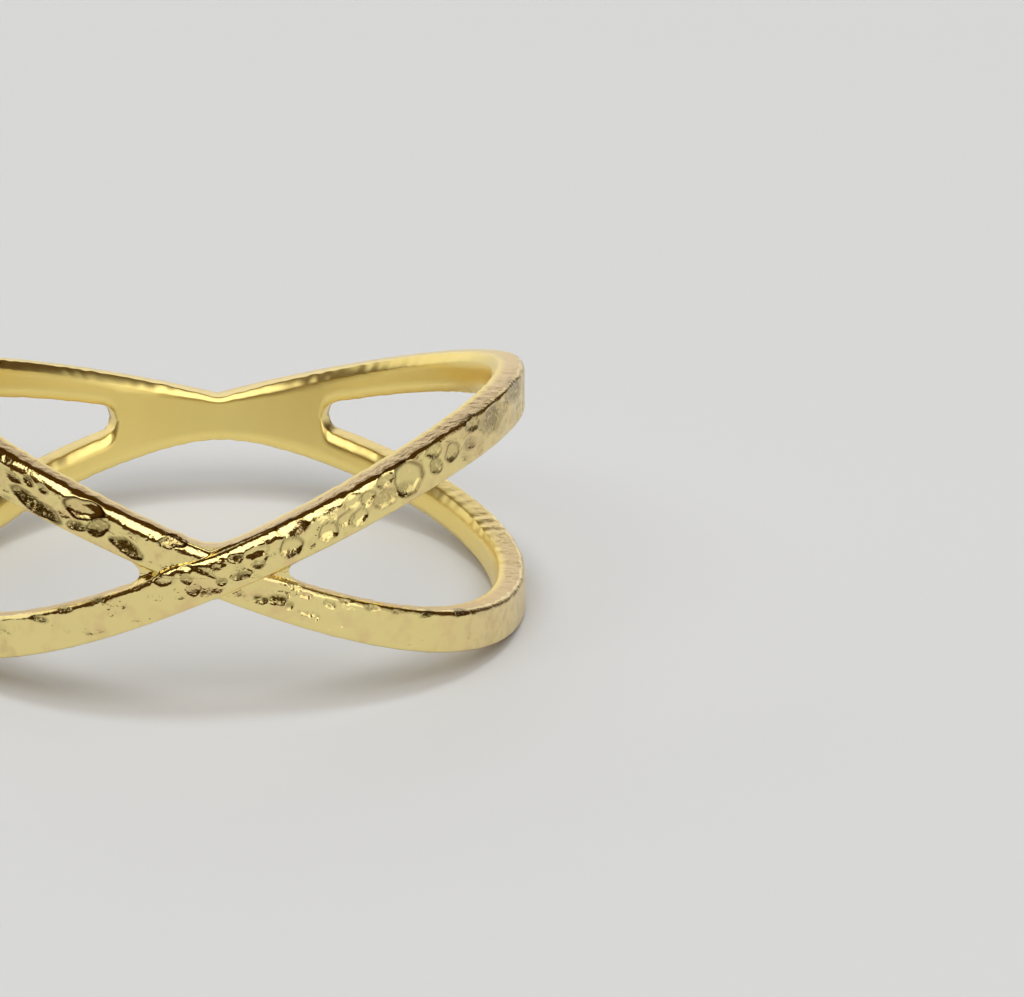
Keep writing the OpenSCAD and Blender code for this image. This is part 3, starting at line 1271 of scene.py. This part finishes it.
@dataclass
class Studio:
    """Floor, two soft lamps and the room that the metal mirrors."""

    paper: MattePaper
    patches: tuple[LightPatch, ...] = (SOFT_BOX, FAR_SIDE, LOW_RIGHT)
    box_turn: float = -0.05
    lit_level: float = 0.35
    dark_colour: str = "6b4a1e"
    dark_level: float = 0.45
    room_colour: str = "fffdfa"
    floor_size: float = 3.0
    lamp_distance: float = 1.2
    lamp_size: float = 0.4
    lamp_tilt_deg: float = 9.0
    lamp_power: float = 3.5
    fill_size: float = 2.6
    fill_power: float = 7.8
    lamp_colour: str = "f3fafe"

    def build(self) -> None:
        """Set up the floor, the lamps and the room."""
        deselect_all()
        bpy.ops.mesh.primitive_plane_add(size=self.floor_size)
        floor = bpy.context.active_object
        floor.name = "floor"
        floor.data.materials.append(self.paper.material())
        self.hang("soft_lamp", self.lamp_tilt_deg, self.lamp_size, self.lamp_power)
        self.hang("fill_lamp", 0.0, self.fill_size, self.fill_power)
        self.surround()
        bpy.context.scene.view_settings.view_transform = "Standard"

    def hang(self, name: str, tilt_deg: float, size: float, power: float) -> None:
        """Hang a round lamp over the ring, which the metal doesn't mirror.

        Args:
            name: Its name.
            tilt_deg: Its angle from straight overhead, towards the camera.
            size: Its diameter in metres.
            power: Its power in watts.
        """
        tilt = math.radians(tilt_deg)
        data = bpy.data.lights.new(name, "AREA")
        data.shape = "DISK"
        data.size = size
        data.energy = power
        data.color = linear_colour(self.lamp_colour)[:3]
        lamp = bpy.data.objects.new(name, data)
        lamp.location = Vector((0.0, -math.sin(tilt), math.cos(tilt))) * self.lamp_distance
        lamp.rotation_euler = (-tilt, 0.0, 0.0)
        lamp.visible_glossy = False
        bpy.context.scene.collection.objects.link(lamp)

    def surround(self) -> None:
        """Light the room with its patches, the brightest over the others, on a warm dark."""
        world = bpy.data.worlds.new("soft_room")
        world.use_nodes = True
        bpy.context.scene.world = world
        tree = world.node_tree
        heading = add_node(tree, "TexCoord", output="Generated")
        x, y, z = add_node(tree, "SeparateXYZ", {0: heading}).node.outputs
        front = add_node(tree, "Math", {0: y, 1: -1.0}, operation="MULTIPLY")
        turn = add_node(tree, "Math", {0: x, 1: front}, operation="ARCTAN2")
        aside = add_node(tree, "Math", {0: turn, 1: -self.box_turn}, operation="ADD")
        aside = add_node(tree, "Math", {0: aside}, operation="ABSOLUTE")
        ways = {Way.RIGHT: x, Way.AWAY: y, Way.UP: z, Way.ROUND: turn, Way.ASIDE: aside}
        level = 0.0
        for patch in self.patches:
            glow = patch.level
            for fade in patch.edges:
                bounds = (ways[fade.way], fade.start, fade.end, fade.start_share, fade.end_share)
                share = dict(enumerate(bounds))
                share = add_node(tree, "MapRange", share, interpolation_type="SMOOTHSTEP")
                glow = add_node(tree, "Math", {0: glow, 1: share}, operation="MULTIPLY")
            level = add_node(tree, "Math", {0: level, 1: glow}, operation="MAXIMUM")
        lit = {"Value": level, "From Min": 0.0, "From Max": self.lit_level}
        lit = add_node(tree, "MapRange", lit, interpolation_type="SMOOTHSTEP")
        dark = [c * self.dark_level for c in linear_colour(self.dark_colour)[:3]]
        room = linear_colour(self.room_colour)[:3]
        bright = add_node(tree, "VectorMath", {0: room, "Scale": level}, operation="SCALE")
        colour = add_node(tree, "Mix", {0: lit, 4: dark, 5: bright}, 1, data_type="VECTOR")
        tree.links.new(colour, tree.nodes["Background"].inputs["Color"])


def main() -> None:
    """Build the pieces in order and report each one."""
    logging.basicConfig(level=logging.INFO, format="%(name)s: %(message)s")
    hole = FingerHole.from_record(frame["record"])
    camera = PhotoCamera()
    camera.build(hole.centre)
    path = BandPath()
    hammering = Hammering(path, hole.radius + path.wall)
    hammering.chart(camera, hole, CHARTED)
    hammering.scatter()
    ring = CrossoverRing(hole, path, hammering, HammeredGold()).build()
    triangles = sum(len(p.vertices) - 2 for p in ring.data.polygons)
    LOG.info("%s: %d triangles", ring.name, triangles)
    Studio(MattePaper()).build()
    LOG.info("floor, lamps and room")


if __name__ == "__main__":
    main()
